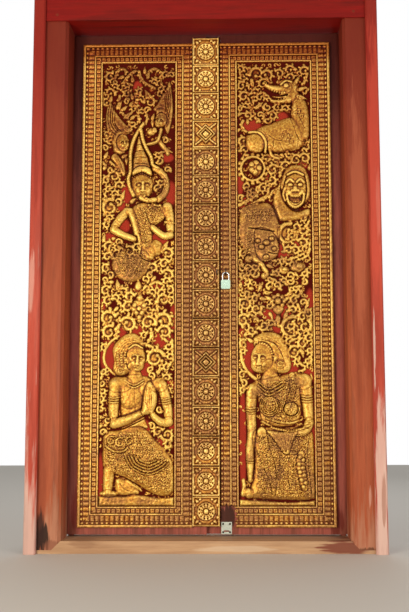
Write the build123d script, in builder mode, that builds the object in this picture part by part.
from build123d import *
import os
from math import cos, radians, sin, tan

# Carved two-leaf temple door in its painted timber frame, shown closed.
# Millimetres, +Z up, X to the right seen from the front, and the front faces -Y.
# The origin is on the underside of the sill, in the middle, in the plane of the leaf boards' front faces.

os.makedirs("parts", exist_ok=True)

# Opening between the jambs
opening_width = 1322.0
opening_height = 2464.0

# Frame timbers
jamb_width = 108.0
reveal_depth = 158.0
frame_behind = 76.0
arris_chamfer = 14.0
sill_height = 56.0
lintel_height = 150.0
lintel_proud = 8.0
foot_mitre = 40.0
architrave_width = 56.0
architrave_depth = 60.0
architrave_proud = 25.0
architrave_chamfer = 6.0
tenon_width = 40.0
tenon_depth = 90.0
tenon_height = 60.0
peg_radius = 7.0
peg_spacing = 50.0
joint_play = 0.3

# Leaf boards and their pivots
leaf_thickness = 56.0
pivot_inset = 16.0
heel_clearance = 0.5
heel_flare = 6.0
top_gap = 10.0
bottom_gap = 8.0
pin_radius = 14.0
pin_clearance = 0.1
bottom_pin = 30.0
top_pin = 30.0
lift_room = 32.0
seat_gap = 0.3

# Centre batten and the strip behind it
batten_land = 68.0
batten_lap = 64.0
batten_thickness = 18.0
batten_foot = 38.0
batten_head = 22.9
cell_count = 17
cell_margin = 5.0
cell_relief = 6.0
meeting_gap = 4.0
strip_lap = 2.8
strip_thickness = 30.0

# Border strips round each carved panel
hinge_margin = 34.0
foot_margin = 34.0
head_margin = 52.0
inner_fillet = 7.0
bead_band = 26.0
middle_fillet = 7.0
petal_band = 44.0
edge_fillet = 13.0
bead_floor = 9.0
fillet_height = 20.0
petal_edge = 12.0
petal_crown = 19.0
edge_height = 22.0
broken_strip_end = 188.0
broken_foot_end = 128.0

# Carved panels
ground_thickness = 6.0
low_relief = 10.0
middle_relief = 17.0
high_relief = 25.0
dome_sides = 10
scroll_steps = 5
curl = 1.4

# Back ledges and forged nails
ledge_height = 90.0
ledge_thickness = 22.0
ledge_chamfer = 6.0
ledge_setback = 60.0
ledge_end = 40.0
lower_ledge = 420.0
upper_ledge = 2150.0
nail_shank = 5.0
nail_length = 42.0
nail_head = 14.0
nail_head_height = 4.0

# Padlock, staples and mending plate
lock_width = 44.0
lock_height = 43.0
lock_thickness = 20.0
lock_corner = 6.0
lock_x = 94.0
lock_y = -34.0
lock_bottom = 1224.0
shackle_radius = 3.0
shackle_spacing = 30.0
shackle_height = 40.0
shackle_clearance = 0.1
toe_depth = 7.5
heel_depth = 30.0
staple_wire = 5.0
staple_spacing = 20.0
staple_leg = 14.0
staple_reach = 12.0
batten_staple_x = 52.0
hang_clearance = 0.5
plate_width = 50.0
plate_height = 56.0
plate_thickness = 2.5
plate_slot = 26.0
plate_slot_height = 7.0
plate_nail_length = 22.0
plate_nail_head = 9.0

# Places worked out from the sizes
half_opening = opening_width / 2
frame_half = half_opening + jamb_width
outer_half = frame_half + architrave_width
soffit = sill_height + opening_height
lintel_top = soffit + lintel_height
frame_top = lintel_top + architrave_width
frame_depth = reveal_depth + frame_behind
foot_seat = sill_height - foot_mitre
pivot_x = half_opening - pivot_inset
pivot_y = leaf_thickness / 2
heel_pocket = pivot_y + heel_clearance
leaf_bottom = sill_height + bottom_gap
leaf_top = soffit - top_gap
leaf_height = leaf_top - leaf_bottom
leaf_middle = (leaf_top + leaf_bottom) / 2
right_edge = batten_lap + meeting_gap
batten_bottom = leaf_bottom + batten_foot
batten_height = leaf_height - batten_foot - batten_head
cell_height = batten_height / cell_count
batten_middle_x = (batten_lap - batten_land) / 2
batten_front = batten_thickness + cell_relief
meeting_border = inner_fillet + bead_band + middle_fillet + petal_band
border_width = meeting_border + edge_fillet
field_outer = pivot_x - hinge_margin - border_width
field_inner = right_edge + meeting_border
field_bottom = leaf_bottom + foot_margin + border_width
field_top = leaf_top - head_margin - border_width
field_width = field_outer - field_inner
field_height = field_top - field_bottom
field_middle_z = (field_top + field_bottom) / 2
plate_x = right_edge + 1 + plate_width / 2
plate_z = leaf_bottom + 2 + plate_height / 2

exported = []


def save(piece, name):
    piece.part.label = name
    export_step(piece.part, f"parts/{name}.step")
    exported.append(name)


peg_length = reveal_depth + (frame_behind - reveal_depth + tenon_depth) / 2 + lintel_proud


# Jamb: stop, hollow quirk for the leaf's round heel, flared rebate behind it, tenon on top
def make_jamb(side, name):
    with BuildPart() as jamb:
        with BuildSketch(Plane.XY.offset(foot_seat)):
            with Locations((side * (half_opening + jamb_width / 2), (frame_behind - reveal_depth) / 2)):
                Rectangle(jamb_width, frame_depth)
            with BuildLine():
                Polyline(
                    (side * half_opening, -reveal_depth),
                    (side * (half_opening + arris_chamfer), -reveal_depth),
                    (side * half_opening, arris_chamfer - reveal_depth),
                    close=True,
                )
            make_face(mode=Mode.SUBTRACT)
            with Locations((side * pivot_x, pivot_y)):
                Circle(heel_pocket, mode=Mode.SUBTRACT)
            rebate = pivot_x + heel_pocket
            flare = (frame_behind - pivot_y) * tan(radians(heel_flare))
            with BuildLine():
                Polyline(
                    (side * pivot_x, pivot_y),
                    (side * rebate, pivot_y),
                    (side * (rebate + flare), frame_behind),
                    (side * pivot_x, frame_behind),
                    close=True,
                )
            make_face(mode=Mode.SUBTRACT)
        extrude(amount=soffit - foot_seat)
        with BuildSketch(Plane.XZ.offset(reveal_depth)) as mitre:
            with BuildLine():
                Polyline(
                    (side * half_opening, foot_seat),
                    (side * (half_opening + foot_mitre), foot_seat),
                    (side * half_opening, sill_height),
                    close=True,
                )
            make_face()
        extrude(amount=-frame_depth, mode=Mode.SUBTRACT)
        with BuildSketch(Plane.XY.offset(soffit)):
            with Locations((side * (frame_half - jamb_width / 2), (frame_behind - reveal_depth) / 2)):
                Rectangle(tenon_width, tenon_depth)
        extrude(amount=tenon_height)
        with Locations(*peg_places(side)):
            Cylinder(peg_radius, peg_length, rotation=(90, 0, 0), mode=Mode.SUBTRACT)
    save(jamb, name)


def peg_places(side):
    x = side * (frame_half - jamb_width / 2)
    z = soffit + tenon_height / 2
    y = -reveal_depth - lintel_proud + peg_length / 2
    return [(x, y, z)]


make_jamb(-1, "left_jamb")
make_jamb(1, "right_jamb")


# Sill: mitred up into the jamb feet, with a socket for each lower pivot
with BuildPart() as sill:
    with BuildSketch(Plane.XZ.offset(reveal_depth)):
        with BuildLine():
            Polyline(
                (-frame_half, 0),
                (frame_half, 0),
                (frame_half, foot_seat),
                (half_opening + foot_mitre, foot_seat),
                (half_opening, sill_height),
                (-half_opening, sill_height),
                (-half_opening - foot_mitre, foot_seat),
                (-frame_half, foot_seat),
                close=True,
            )
        make_face()
    extrude(amount=-frame_depth)
    with Locations((-pivot_x, pivot_y, sill_height), (pivot_x, pivot_y, sill_height)):
        Hole(pin_radius + pin_clearance, depth=bottom_pin)
save(sill, "sill")


# Lintel: over the jambs, slightly proud of them, mortised for their tenons
with BuildPart() as lintel:
    with BuildSketch(Plane.XZ.offset(reveal_depth + lintel_proud)):
        with Locations((0, soffit + lintel_height / 2)):
            Rectangle(2 * frame_half, lintel_height)
    extrude(amount=-frame_depth - lintel_proud)
    socket_depth = top_pin + lift_room
    with Locations((-pivot_x, pivot_y, soffit + socket_depth), (pivot_x, pivot_y, soffit + socket_depth)):
        Hole(pin_radius + pin_clearance, depth=socket_depth)
    tenon_x = frame_half - jamb_width / 2
    tenon_y = (frame_behind - reveal_depth) / 2
    with BuildSketch(Plane.XY.offset(soffit)):
        with Locations((-tenon_x, tenon_y), (tenon_x, tenon_y)):
            Rectangle(tenon_width + 2 * joint_play, tenon_depth + 2 * joint_play)
    extrude(amount=tenon_height + joint_play, mode=Mode.SUBTRACT)
    with Locations(*peg_places(-1), *peg_places(1)):
        Cylinder(peg_radius, peg_length, rotation=(90, 0, 0), mode=Mode.SUBTRACT)
save(lintel, "lintel")

with BuildPart() as pegs:
    with Locations(*peg_places(-1), *peg_places(1)):
        Cylinder(peg_radius, peg_length, rotation=(90, 0, 0))
save(pegs, "frame_pegs")


# Architrave: flat outer strips beside the jambs and over the lintel
def make_architrave(x, z, width, height, name):
    with BuildPart() as strip:
        with BuildSketch(Plane.XZ.offset(reveal_depth + architrave_proud)):
            with Locations((x, z)):
                Rectangle(width, height)
        extrude(amount=-architrave_depth)
        front = strip.faces().sort_by(Axis.Y)[0]
        long_edges = front.edges().sort_by(SortBy.LENGTH)[-2:]
        chamfer(long_edges, architrave_chamfer)
    save(strip, name)


for side, name in ((-1, "left_architrave"), (1, "right_architrave")):
    make_architrave(side * (frame_half + architrave_width / 2), lintel_top / 2, architrave_width, lintel_top, name)
make_architrave(0, lintel_top + architrave_width / 2, 2 * outer_half, architrave_width, "head_architrave")


# Leaf board: one plank with a round heel and a pivot pin at each end of it
def nail_places(side, ledge_z):
    first = field_inner + ledge_end / 2 if side > 0 else ledge_end * 1.5
    last = pivot_x - ledge_setback - ledge_end
    step = (last - first) / 3
    return [(side * (first + i * step), ledge_z + (ledge_height / 4) * (-1) ** i) for i in range(4)]


def ledge_nail_places(side):
    return nail_places(side, lower_ledge) + nail_places(side, upper_ledge)


def plate_nail_places():
    dx = plate_width / 2 - plate_nail_head
    dz = plate_height / 2 - plate_nail_head
    return [(plate_x + i * dx, plate_z + j * dz) for i in (-1, 1) for j in (-1, 1)]


def cut_square_holes(plane, places, depth):
    with BuildSketch(plane) as holes:
        with Locations(*places):
            Rectangle(nail_shank, nail_shank)
    extrude(holes.sketch, amount=depth, mode=Mode.SUBTRACT)


def make_leaf(side, meeting_edge, name):
    with BuildPart() as leaf:
        with BuildSketch(Plane.XY.offset(leaf_bottom)):
            with BuildLine():
                Polyline(
                    (side * meeting_edge, 0),
                    (side * pivot_x, 0),
                    (side * pivot_x, leaf_thickness),
                    (side * meeting_edge, leaf_thickness),
                    close=True,
                )
            make_face()
            with Locations((side * pivot_x, pivot_y)):
                Circle(leaf_thickness / 2)
        extrude(amount=leaf_height)
        pin_bottom = sill_height - bottom_pin + seat_gap
        with BuildSketch(Plane.XY.offset(pin_bottom)):
            with Locations((side * pivot_x, pivot_y)):
                Circle(pin_radius)
        extrude(amount=leaf_bottom - pin_bottom)
        with BuildSketch(Plane.XY.offset(leaf_top)):
            with Locations((side * pivot_x, pivot_y)):
                Circle(pin_radius)
        extrude(amount=top_gap + top_pin)
        nail_tip = leaf_thickness + ledge_thickness - nail_length
        cut_square_holes(Plane.XZ.offset(-leaf_thickness), ledge_nail_places(side), leaf_thickness - nail_tip)
        if side > 0:
            cut_square_holes(Plane.XZ, plate_nail_places(), plate_thickness - plate_nail_length)
    save(leaf, name)


make_leaf(-1, 0, "left_leaf_board")
make_leaf(1, right_edge, "right_leaf_board")


# Strip behind the batten, on the left board's meeting edge
with BuildPart() as meeting_strip:
    with BuildSketch(Plane.XY.offset(leaf_bottom)):
        with Locations((0, leaf_thickness)):
            Rectangle(batten_lap + strip_lap, strip_thickness, align=(Align.MIN, Align.MAX))
    extrude(amount=leaf_height)
save(meeting_strip, "left_meeting_strip")


# Back ledges across each board, held by forged nails
def make_ledges(side, meeting_edge, name):
    start = meeting_edge + ledge_end
    end = pivot_x - ledge_setback
    for ledge_z, place in ((lower_ledge, "lower"), (upper_ledge, "upper")):
        with BuildPart() as ledge:
            with BuildSketch(Plane.XZ.offset(-leaf_thickness)):
                with Locations((side * (start + end) / 2, ledge_z)):
                    Rectangle(end - start, ledge_height)
            extrude(amount=-ledge_thickness)
            chamfer(ledge.faces().sort_by(Axis.Y)[-1].edges(), ledge_chamfer)
            back = Plane.XZ.offset(-leaf_thickness - ledge_thickness)
            cut_square_holes(back, nail_places(side, ledge_z), ledge_thickness)
        save(ledge, f"{name}_{place}_ledge")


make_ledges(-1, 0, "left")
make_ledges(1, right_edge, "right")


# Forged nail: square shank and a low four-sided head. The plane lies under the head and faces outwards.
def add_nails(plane, places, shank_length, head):
    with BuildSketch(plane) as shanks:
        with Locations(*places):
            Rectangle(nail_shank, nail_shank)
    extrude(shanks.sketch, amount=-shank_length)
    with BuildSketch(plane) as heads:
        with Locations(*places):
            Rectangle(head, head)
    extrude(heads.sketch, amount=nail_head_height, taper=40)


back_plane = Plane.XZ.offset(-leaf_thickness - ledge_thickness)
back_facing = Plane(back_plane.origin, x_dir=(1, 0, 0), z_dir=(0, 1, 0))
for side, name in ((-1, "left_ledge_nails"), (1, "right_ledge_nails")):
    with BuildPart() as nails:
        mirrored = [(x, -z) for x, z in ledge_nail_places(side)]
        add_nails(back_facing, mirrored, nail_length, nail_head)
    save(nails, name)


# Border strip: moulded section run along one side of the panel, mitred to the field's corners
def border_section(plane, width):
    bead_end = inner_fillet + bead_band
    petal_start = bead_end + middle_fillet
    with BuildSketch(plane) as section:
        with BuildLine():
            Polyline(
                (0, 0),
                (0, fillet_height),
                (inner_fillet, fillet_height),
                (inner_fillet, bead_floor),
                (bead_end, bead_floor),
                (bead_end, fillet_height),
                (petal_start, fillet_height),
                (petal_start, petal_edge),
            )
            ThreePointArc(
                (petal_start, petal_edge),
                (petal_start + petal_band / 2, petal_crown),
                (meeting_border, petal_edge),
            )
            if width > meeting_border:
                Polyline(
                    (meeting_border, petal_edge),
                    (meeting_border, edge_height),
                    (width, edge_height),
                    (width, 0),
                    (0, 0),
                )
            else:
                Polyline((meeting_border, petal_edge), (meeting_border, 0), (0, 0))
        make_face()
    return section.sketch


def border_outline(where):
    outer = field_outer + border_width
    top, bottom = field_top + border_width, field_bottom - border_width
    low, high = bottom + edge_fillet, top - edge_fillet
    corners = {
        "hinge": [(field_outer, field_top), (outer, top), (outer, bottom), (field_outer, field_bottom)],
        "meeting": [(field_inner, field_top), (right_edge, high), (right_edge, low), (field_inner, field_bottom)],
        "top": [(field_outer, field_top), (outer, top), (right_edge, top), (right_edge, high), (field_inner, field_top)],
        "bottom": [
            (field_outer, field_bottom),
            (outer, bottom),
            (right_edge, bottom),
            (right_edge, low),
            (field_inner, field_bottom),
        ],
    }
    return corners[where]


def border_plane(side, where):
    return {
        "hinge": Plane((side * field_outer, 0, field_middle_z), x_dir=(side, 0, 0), z_dir=(0, 0, -side)),
        "meeting": Plane((side * field_inner, 0, field_middle_z), x_dir=(-side, 0, 0), z_dir=(0, 0, side)),
        "top": Plane((side * field_outer, 0, field_top), x_dir=(0, 0, 1), z_dir=(1, 0, 0)),
        "bottom": Plane((side * field_outer, 0, field_bottom), x_dir=(0, 0, -1), z_dir=(-1, 0, 0)),
    }[where]


# The right leaf's strips have lost their ends at the foot of the meeting edge
broken_meeting_end = [
    (right_edge - 10, leaf_bottom),
    (field_inner + 10, leaf_bottom),
    (field_inner + 10, broken_strip_end + 3),
    (field_inner - 14, broken_strip_end - 6),
    (field_inner - 30, broken_strip_end + 8),
    (field_inner - 52, broken_strip_end - 5),
    (field_inner - 66, broken_strip_end + 4),
    (right_edge - 10, broken_strip_end - 8),
]
broken_bottom_end = [
    (right_edge - 10, leaf_bottom),
    (broken_foot_end, leaf_bottom),
    (broken_foot_end + 6, field_bottom - 80),
    (broken_foot_end - 6, field_bottom - 64),
    (broken_foot_end + 8, field_bottom - 44),
    (broken_foot_end, field_bottom - 24),
    (broken_foot_end + 12, field_bottom + 10),
    (right_edge - 10, field_bottom + 10),
]


def make_border(side, where, name, lost=None):
    width = meeting_border if where == "meeting" else border_width
    with BuildPart() as strip:
        extrude(border_section(border_plane(side, where), width), amount=leaf_height, both=True)
        with BuildSketch(Plane.XZ):
            with BuildLine():
                Polyline(*[(side * x, z) for x, z in border_outline(where)], close=True)
            make_face()
        extrude(amount=2 * edge_height, mode=Mode.INTERSECT)
        if lost:
            with BuildSketch(Plane.XZ):
                with BuildLine():
                    Polyline(*lost, close=True)
                make_face()
            extrude(amount=2 * edge_height, mode=Mode.SUBTRACT)
        if side > 0 and where == "meeting":
            staple_holes(lock_x, staple_reach)
    save(strip, name)


# Staple: square forged wire bent to a U, its two legs driven into the wood one above the other
shackle_top = lock_bottom + lock_height + shackle_height - shackle_radius
staple_z = shackle_top - shackle_radius - hang_clearance - staple_wire / 2 + staple_spacing / 2


def staple_holes(x, depth):
    with BuildSketch(Plane.XZ) as holes:
        with Locations((x, staple_z + staple_spacing / 2), (x, staple_z - staple_spacing / 2)):
            Rectangle(staple_wire, staple_wire)
    extrude(holes.sketch, amount=2 * edge_height, mode=Mode.SUBTRACT)


for where in ("hinge", "meeting", "top", "bottom"):
    make_border(-1, where, f"left_border_{where}")
make_border(1, "hinge", "right_border_hinge")
make_border(1, "top", "right_border_top")
make_border(1, "meeting", "right_border_meeting", broken_meeting_end)
make_border(1, "bottom", "right_border_bottom", broken_bottom_end)


# Centre batten: a row of carved cells, rosettes with a lattice cell here and there
lattice_cells = (3, 11)
rosette_radius = 36.0
rosette_sides = 10


def cell_middle(index):
    return batten_bottom + batten_height - (index + 0.5) * cell_height


with BuildPart() as batten:
    with BuildSketch(Plane.XZ):
        with Locations((batten_middle_x, batten_bottom + batten_height / 2)):
            Rectangle(batten_land + batten_lap, batten_height)
    extrude(amount=batten_thickness)
    middles = [(batten_middle_x, cell_middle(i)) for i in range(cell_count)]
    rosettes = [p for i, p in enumerate(middles) if i not in lattice_cells]
    lattices = [p for i, p in enumerate(middles) if i in lattice_cells]
    cell_width = batten_land + batten_lap - 2 * cell_margin
    front_plane = Plane.XZ.offset(batten_thickness)
    with BuildSketch(front_plane):
        with Locations(*lattices):
            Rectangle(cell_width, cell_height - cell_margin)
            Rectangle(cell_width - 4 * cell_margin, cell_height - 5 * cell_margin, mode=Mode.SUBTRACT)
        with Locations(*rosettes):
            Rectangle(cell_width, cell_height - cell_margin)
    extrude(amount=cell_relief)
    with BuildSketch(Plane.XZ.offset(batten_front)):
        with Locations(*rosettes):
            RegularPolygon(rosette_radius, rosette_sides)
            RegularPolygon(rosette_radius * 0.62, rosette_sides, mode=Mode.SUBTRACT)
            RegularPolygon(rosette_radius * 0.3, 6)
    extrude(amount=cell_relief * 0.8)
    with BuildSketch(front_plane):
        with Locations(*lattices):
            with GridLocations(cell_width / 4, cell_height / 4, 3, 3):
                Rectangle(cell_width / 6, cell_width / 6, rotation=45)
    extrude(amount=cell_relief)
    with BuildSketch(Plane.XZ) as holes:
        with Locations((batten_staple_x, staple_z + staple_spacing / 2), (batten_staple_x, staple_z - staple_spacing / 2)):
            Rectangle(staple_wire, staple_wire)
    extrude(holes.sketch, amount=2 * batten_front, mode=Mode.SUBTRACT)
save(batten, "centre_batten")


def make_staple(x, seat, reach, name):
    legs = staple_spacing / 2
    with BuildPart() as staple:
        with BuildLine() as bend:
            back_low = (x, seat, staple_z - legs)
            front_low = (x, reach, staple_z - legs)
            front_high = (x, reach, staple_z + legs)
            back_high = (x, seat, staple_z + legs)
            Line(back_low, front_low)
            ThreePointArc(front_low, (x, reach - legs, staple_z), front_high)
            Line(front_high, back_high)
        with BuildSketch(Plane(back_low, x_dir=(1, 0, 0), z_dir=(0, -1, 0))):
            Rectangle(staple_wire, staple_wire)
        sweep()
    save(staple, name)


make_staple(lock_x, -joint_play, lock_y, "right_staple")
make_staple(batten_staple_x, -joint_play, -batten_front - staple_reach, "left_staple")


# Padlock hanging closed in the right staple. The shackle rises when the lock is released.
lock_top = lock_bottom + lock_height
leg = shackle_spacing / 2
with BuildPart() as lock_body:
    with BuildSketch(Plane.XZ.offset(-lock_y - lock_thickness / 2)):
        with Locations((lock_x, lock_bottom + lock_height / 2)):
            RectangleRounded(lock_width, lock_height, lock_corner)
    extrude(amount=lock_thickness)
    with Locations((lock_x - leg, lock_y, lock_top)):
        Hole(shackle_radius + shackle_clearance, depth=toe_depth + 1)
    with Locations((lock_x + leg, lock_y, lock_top)):
        Hole(shackle_radius + shackle_clearance, depth=heel_depth + 1)
save(lock_body, "padlock_body")

with BuildPart() as shackle:
    with BuildSketch(Plane.XY.offset(lock_top - toe_depth)):
        with Locations((lock_x - leg, lock_y)):
            Circle(shackle_radius)
    extrude(amount=shackle_top - leg - lock_top + toe_depth)
    with BuildSketch(Plane.XY.offset(lock_top - heel_depth)):
        with Locations((lock_x + leg, lock_y)):
            Circle(shackle_radius)
    extrude(amount=shackle_top - leg - lock_top + heel_depth)
    with BuildSketch(Plane.XY.offset(shackle_top - leg)):
        with Locations((lock_x - leg, lock_y)):
            Circle(shackle_radius)
    revolve(axis=Axis((lock_x, lock_y, shackle_top - leg), (0, 1, 0)), revolution_arc=180)
save(shackle, "padlock_shackle")


# Mending plate at the foot of the right leaf's meeting edge
with BuildPart() as plate:
    with BuildSketch(Plane.XZ):
        with Locations((plate_x, plate_z)):
            Rectangle(plate_width, plate_height)
        with Locations((plate_x, plate_z - plate_height / 4)):
            Rectangle(plate_slot, plate_slot_height, mode=Mode.SUBTRACT)
    extrude(amount=plate_thickness)
    cut_square_holes(Plane.XZ, plate_nail_places(), plate_thickness)
save(plate, "mending_plate")

with BuildPart() as plate_nails:
    add_nails(Plane.XZ.offset(plate_thickness), plate_nail_places(), plate_nail_length, plate_nail_head)
save(plate_nails, "plate_nails")


# Carving tools: every form stands on the panel's ground, in the panel's own plane.
# Places are door coordinates in X and Z, and heights are above the ground.
ground = Plane.XZ.offset(ground_thickness)


# Ribbon along a path of points, square to it at each one, as wide at every point as the list of widths says
def ribbon(points, widths, height):
    left, right = [], []
    for i, (x, z) in enumerate(points):
        before, after = points[max(i - 1, 0)], points[min(i + 1, len(points) - 1)]
        along_x, along_z = after[0] - before[0], after[1] - before[1]
        reach = widths[i] / 2 / (along_x**2 + along_z**2) ** 0.5
        left.append((x - along_z * reach, z + along_x * reach))
        right.append((x + along_z * reach, z - along_x * reach))
    with BuildSketch(ground) as form:
        with BuildLine():
            Polyline(*left, *reversed(right), close=True)
        make_face()
    return extrude(form.sketch, amount=height, mode=Mode.PRIVATE)


# Curling tendril: it winds inwards to half its radius and ends in a bead
def scroll(x, z, radius, start, turn, width=12.0, height=low_relief):
    points = []
    for i in range(scroll_steps + 1):
        share = i / scroll_steps
        angle = radians(start + turn * curl * share)
        points.append((x + radius * (1 - share / 2) * cos(angle), z + radius * (1 - share / 2) * sin(angle)))
    widths = [width * (1 - i / scroll_steps / 4) for i in range(scroll_steps + 1)]
    with BuildSketch(ground) as bead:
        with Locations(points[-1]):
            RegularPolygon(width * 0.7, 6)
    return [ribbon(points, widths, height), extrude(bead.sketch, amount=height, mode=Mode.PRIVATE)]


def ring(x, z, radius, width=15.0, height=low_relief):
    with BuildSketch(ground) as form:
        with Locations((x, z)):
            RegularPolygon(radius + width / 2, dome_sides)
            RegularPolygon(radius - width / 2, dome_sides, mode=Mode.SUBTRACT)
    return extrude(form.sketch, amount=height, mode=Mode.PRIVATE)


def stem(points, width=13.0, height=low_relief):
    widths = [width * (1 - 0.4 * i / (len(points) - 1)) for i in range(len(points))]
    return ribbon(points, widths, height)


# Pointed leaf, widest near its root
def leaf_form(x, z, length, width, angle, height=low_relief):
    with BuildSketch(ground) as form:
        with Locations(Location((x, z), angle)):
            Polygon(
                (-length * 0.5, 0),
                (-length * 0.2, width * 0.5),
                (length * 0.5, 0),
                (-length * 0.2, -width * 0.5),
                align=None,
            )
    return extrude(form.sketch, amount=height, mode=Mode.PRIVATE)


# Rounded body: its outline drawn at several heights, each a smaller copy of the one below
def mass(points, height=middle_relief, tiers=((0, 1), (0.75, 0.88), (1, 0.6))):
    middle_x = sum(x for x, z in points) / len(points)
    middle_z = sum(z for x, z in points) / len(points)
    with BuildPart(mode=Mode.PRIVATE) as form:
        for share, size in tiers:
            with BuildSketch(ground.offset(height * share)):
                with BuildLine():
                    Polyline(
                        *[(middle_x + (x - middle_x) * size, middle_z + (z - middle_z) * size) for x, z in points],
                        close=True,
                    )
                make_face()
        loft(ruled=True)
    return form.part


# Arm or leg, straight between its joints
def limb(points, width, height=high_relief):
    return ribbon(points, [width] * len(points), height)


def dome(x, z, width, length, height=high_relief, angle=0):
    points = []
    for i in range(dome_sides):
        across = width / 2 * cos(radians(i * 360 / dome_sides))
        along = length / 2 * sin(radians(i * 360 / dome_sides))
        lean_x = across * cos(radians(angle)) - along * sin(radians(angle))
        lean_z = across * sin(radians(angle)) + along * cos(radians(angle))
        points.append((x + lean_x, z + lean_z))
    return mass(points, height, ((0, 1), (0.65, 0.82), (1, 0.42)))


def make_panel(side, forms, name):
    with BuildPart() as panel:
        with BuildSketch(Plane.XZ):
            with Locations((side * (field_inner + field_outer) / 2, field_middle_z)):
                Rectangle(field_width, field_height)
        extrude(amount=ground_thickness)
        add(sum([form if isinstance(form, list) else [form] for form in forms], []))
        with BuildSketch(Plane.XZ):
            with Locations((side * (field_inner + field_outer) / 2, field_middle_z)):
                Rectangle(field_width, field_height)
        extrude(amount=2 * high_relief, mode=Mode.INTERSECT)
    save(panel, name)


# Left panel: foliage and two winged attendants above, a seated figure in the middle, a kneeling figure below
left_foliage = [
    stem([(-452, 2150), (-455, 2230), (-424, 2280)]),
    scroll(-424, 2308, 26, 180, -190),
    scroll(-478, 2310, 17, 200, -230),
    scroll(-362, 2300, 24, 320, 230),
    scroll(-312, 2296, 22, 220, -230),
    scroll(-258, 2308, 26, 10, 220),
    scroll(-188, 2302, 22, 330, 230),
    stem([(-388, 2180), (-400, 2240), (-380, 2280)]),
    stem([(-262, 2180), (-284, 2240), (-304, 2280)]),
    scroll(-470, 2212, 20, 0, 210),
    leaf_form(-345, 2215, 70, 36, 60),
    leaf_form(-290, 2195, 70, 40, 110),
    dome(-357, 2169, 30, 30, low_relief),
    leaf_form(-320, 2100, 90, 46, 90),
    leaf_form(-193, 1914, 60, 30, -30),
    scroll(-452, 1745, 22, 20, 220),
    scroll(-470, 1628, 30, 30, 230),
    scroll(-470, 1545, 18, 60, 220),
    scroll(-190, 1395, 26, 160, -220),
    scroll(-258, 1330, 26, 180, -230),
    scroll(-190, 1285, 24, 150, -220),
    scroll(-474, 1440, 24, 20, 210),
    scroll(-470, 1290, 26, 340, 230),
    scroll(-455, 1180, 28, 0, 230),
    scroll(-385, 1215, 26, 180, -220),
    scroll(-255, 1215, 28, 0, 220),
    scroll(-190, 1175, 26, 180, -230),
    leaf_form(-320, 1170, 120, 60, 90, middle_relief),
    scroll(-455, 1078, 30, 20, 230),
    scroll(-372, 1060, 28, 160, -220),
    scroll(-268, 1062, 28, 20, 220),
    scroll(-194, 1066, 28, 180, -220),
    stem([(-200, 1010), (-172, 950), (-190, 880), (-222, 830)]),
    scroll(-258, 880, 26, 300, 230),
    scroll(-186, 738, 18, 200, -230),
    scroll(-190, 500, 24, 180, -230),
]
left_figures = [
    # wings, attendants and the ribbon they hold over the headdress
    mass([(-480, 2172), (-498, 2100), (-492, 2030), (-468, 1965), (-430, 1890), (-395, 1960), (-372, 2018),
          (-425, 2075), (-460, 2135)], low_relief + 3),
    mass([(-178, 2268), (-166, 2190), (-163, 2120), (-180, 2040), (-205, 1985), (-250, 2080), (-262, 2122),
          (-232, 2165), (-204, 2212)], low_relief + 3),
    dome(-398, 1952, 62, 84, middle_relief, 15),
    dome(-222, 2068, 64, 78, middle_relief, -20),
    limb([(-376, 1795), (-368, 1905), (-311, 2035), (-268, 1875), (-240, 1830)], 16, middle_relief),
    limb([(-222, 2018), (-234, 1962), (-283, 1947)], 15, middle_relief),
    # crown, head, robe and body of the seated figure
    mass([(-320, 1965), (-342, 1880), (-368, 1800), (-320, 1786), (-272, 1800), (-300, 1880)]),
    dome(-314, 1742, 104, 138, high_relief),
    dome(-311, 1722, 70, 92, high_relief + 5),
    mass([(-245, 1812), (-206, 1780), (-194, 1715), (-215, 1660), (-252, 1690), (-256, 1760)], low_relief),
    mass([(-380, 1615), (-340, 1650), (-290, 1668), (-240, 1655), (-186, 1640), (-200, 1590), (-250, 1540),
          (-262, 1440), (-300, 1410), (-335, 1440), (-345, 1540)]),
    limb([(-378, 1608), (-446, 1510), (-362, 1480)], 34),
    limb([(-366, 1600), (-334, 1522)], 30),
    limb([(-194, 1625), (-176, 1486), (-250, 1512)], 34),
    dome(-362, 1352, 176, 164, middle_relief),
    mass([(-300, 1450), (-250, 1440), (-215, 1410), (-245, 1370), (-290, 1400)], low_relief),
    # head, halo and hair of the kneeling figure
    stem([(-446, 1000), (-492, 955), (-502, 905), (-484, 860), (-446, 838)], 20),
    mass([(-345, 1004), (-400, 985), (-440, 920), (-432, 850), (-398, 800), (-352, 830), (-310, 860),
          (-300, 930), (-312, 985)]),
    dome(-339, 890, 92, 128, high_relief),
    dome(-415, 828, 44, 44, high_relief),
    limb([(-350, 840), (-350, 780)], 56, middle_relief),
    # torso, arms and joined hands
    mass([(-470, 745), (-440, 790), (-350, 800), (-250, 795), (-205, 760), (-240, 690), (-300, 640),
          (-320, 590), (-400, 570), (-430, 650)]),
    limb([(-455, 745), (-458, 560), (-300, 622)], 48),
    limb([(-222, 750), (-204, 610), (-228, 560), (-262, 625)], 38),
    mass([(-318, 620), (-300, 700), (-268, 785), (-240, 700), (-238, 620), (-276, 600)], high_relief),
    # skirt, folded legs, foot and wavy ground
    mass([(-500, 540), (-420, 575), (-320, 560), (-240, 540), (-180, 470), (-160, 380), (-156, 255),
          (-230, 246), (-300, 290), (-400, 330), (-496, 355)]),
    mass([(-330, 500), (-250, 510), (-185, 440), (-170, 330), (-220, 280), (-320, 320), (-360, 400)], high_relief),
    limb([(-470, 350), (-466, 250)], 52),
    leaf_form(-352, 300, 120, 60, -40, middle_relief),
    mass([(-508, 240), (-430, 244), (-360, 262), (-280, 246), (-160, 236), (-156, 200), (-330, 198),
          (-508, 200)], low_relief),
]


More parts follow.
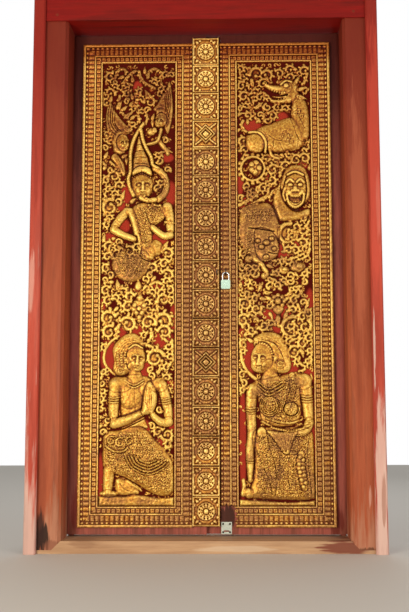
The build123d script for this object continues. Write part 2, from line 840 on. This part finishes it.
# Right panel: foliage and a leaping beast above, masks and scrolls in the middle, a standing figure below
right_foliage = [
    scroll(188, 2305, 20, 60, 220),
    stem([(230, 2120), (238, 2180), (222, 2240), (228, 2290)]),
    scroll(252, 2306, 26, 180, -190),
    scroll(302, 2278, 26, 330, 230),
    scroll(352, 2292, 20, 200, -220),
    scroll(412, 2308, 24, 340, 220),
    stem([(442, 2308), (456, 2262), (450, 2212)]),
    scroll(486, 2306, 20, 330, 230),
    scroll(186, 2236, 20, 30, 220),
    scroll(190, 2170, 20, 30, 220),
    leaf_form(262, 2170, 80, 34, 40),
    leaf_form(256, 2128, 80, 34, 30),
    scroll(322, 2092, 22, 180, -210),
    scroll(193, 2092, 18, 0, 220),
    leaf_form(188, 1940, 90, 34, 80),
    ring(228, 1830, 48, 20, middle_relief),
    dome(228, 1830, 50, 50, low_relief),
    scroll(300, 1872, 26, 180, -220),
    scroll(330, 1802, 24, 60, 230),
    stem([(310, 1850), (372, 1890), (440, 1922)], 18),
    scroll(440, 1866, 22, 200, 230),
    scroll(486, 1866, 20, 330, -220),
    scroll(386, 1836, 20, 30, 220),
    leaf_form(472, 1945, 70, 30, 60),
    ring(400, 1495, 44, 16, low_relief),
    dome(404, 1482, 34, 34, middle_relief),
    scroll(470, 1512, 24, 120, -230),
    stem([(492, 1450), (486, 1412), (436, 1378), (366, 1385)], 16),
    scroll(400, 1420, 18, 180, -220),
    scroll(180, 1500, 20, 20, 220),
    scroll(190, 1240, 26, 0, 230),
    scroll(262, 1232, 26, 180, -220),
    scroll(410, 1240, 26, 0, 220),
    scroll(474, 1242, 26, 180, -220),
    dome(346, 1160, 66, 66, middle_relief),
    leaf_form(346, 1092, 70, 46, -90),
    scroll(206, 1140, 22, 20, 220),
    scroll(262, 1120, 20, 160, -220),
    scroll(432, 1150, 22, 20, 220),
    scroll(480, 1112, 24, 300, 230),
    scroll(186, 1064, 22, 0, 220),
    ring(418, 1030, 50, 20, middle_relief),
    dome(424, 1024, 40, 40, low_relief),
    stem([(500, 1060), (512, 960), (498, 880), (444, 826)], 16),
    scroll(470, 950, 24, 60, 220),
    scroll(424, 905, 20, 0, 230),
]
right_figures = [
    # leaping beast: head with open jaws, neck, body, haunch, tail
    mass([(296, 2212), (340, 2192), (400, 2216), (452, 2196), (450, 2130), (400, 2100), (345, 2112), (338, 2140),
          (372, 2160), (330, 2165)], middle_relief),
    mass([(440, 2150), (490, 2120), (502, 2040), (492, 1980), (440, 1960), (405, 2040)], middle_relief),
    mass([(235, 2020), (300, 2050), (380, 2070), (450, 2050), (480, 1985), (440, 1920), (350, 1905), (270, 1915)],
         high_relief),
    dome(246, 1958, 100, 110, high_relief),
    stem([(178, 2068), (172, 2035), (192, 2012), (220, 2000)], 15),
    # grinning mask
    mass([(360, 1740), (372, 1810), (435, 1842), (496, 1810), (506, 1720), (480, 1640), (432, 1610), (385, 1640)],
         low_relief),
    dome(434, 1706, 108, 146, high_relief),
    dome(434, 1660, 70, 40, high_relief + 5),
    stem([(330, 1706), (250, 1672), (168, 1612)], 20, low_relief),
    # crouching beast, dark and worn
    mass([(165, 1620), (230, 1650), (300, 1640), (340, 1560), (350, 1450), (330, 1380), (262, 1370), (190, 1440),
          (162, 1530)], middle_relief),
    dome(298, 1428, 92, 116, high_relief, 25),
    dome(270, 1322, 46, 90, middle_relief, 30),
    dome(374, 1320, 60, 46, middle_relief),
    dome(440, 1332, 60, 46, middle_relief, 20),
    # head, halo and headdress of the standing figure
    stem([(165, 1005), (160, 945), (166, 885), (198, 832), (242, 800)], 20),
    mass([(240, 970), (280, 1040), (340, 1052), (390, 1000), (384, 920), (370, 850), (320, 850), (250, 900)]),
    dome(272, 892, 92, 134, high_relief),
    dome(350, 858, 44, 44, high_relief),
    limb([(298, 840), (302, 770)], 60, middle_relief),
    # shoulders, chest, arms, belt
    mass([(200, 740), (262, 785), (340, 800), (420, 815), (470, 780), (480, 690), (440, 600), (370, 560),
          (280, 590), (235, 660)]),
    dome(294, 660, 76, 76, high_relief),
    dome(396, 644, 76, 76, high_relief),
    limb([(216, 740), (208, 560), (208, 330)], 44),
    limb([(474, 760), (486, 600), (462, 530)], 46),
    limb([(236, 610), (290, 575), (366, 552), (440, 562), (486, 590)], 16),
    mass([(300, 540), (365, 552), (428, 540), (400, 480), (366, 440), (330, 480)], high_relief),
    # skirt, tassel, feet and ground
    mass([(240, 570), (320, 560), (420, 560), (500, 540), (508, 400), (500, 235), (380, 226), (270, 240), (215, 330),
          (232, 450)]),
    limb([(444, 430), (440, 290)], 44),
    dome(188, 275, 46, 60, middle_relief, 20),
    dome(276, 262, 60, 40, middle_relief),
    mass([(158, 232), (250, 226), (380, 220), (508, 230), (508, 200), (330, 198), (158, 200)], low_relief),
]

make_panel(-1, left_foliage + left_figures, "left_carved_panel")
make_panel(1, right_foliage + right_figures, "right_carved_panel")

print(len(exported), "nodes, overall", 2 * outer_half, "wide and", frame_top, "high")
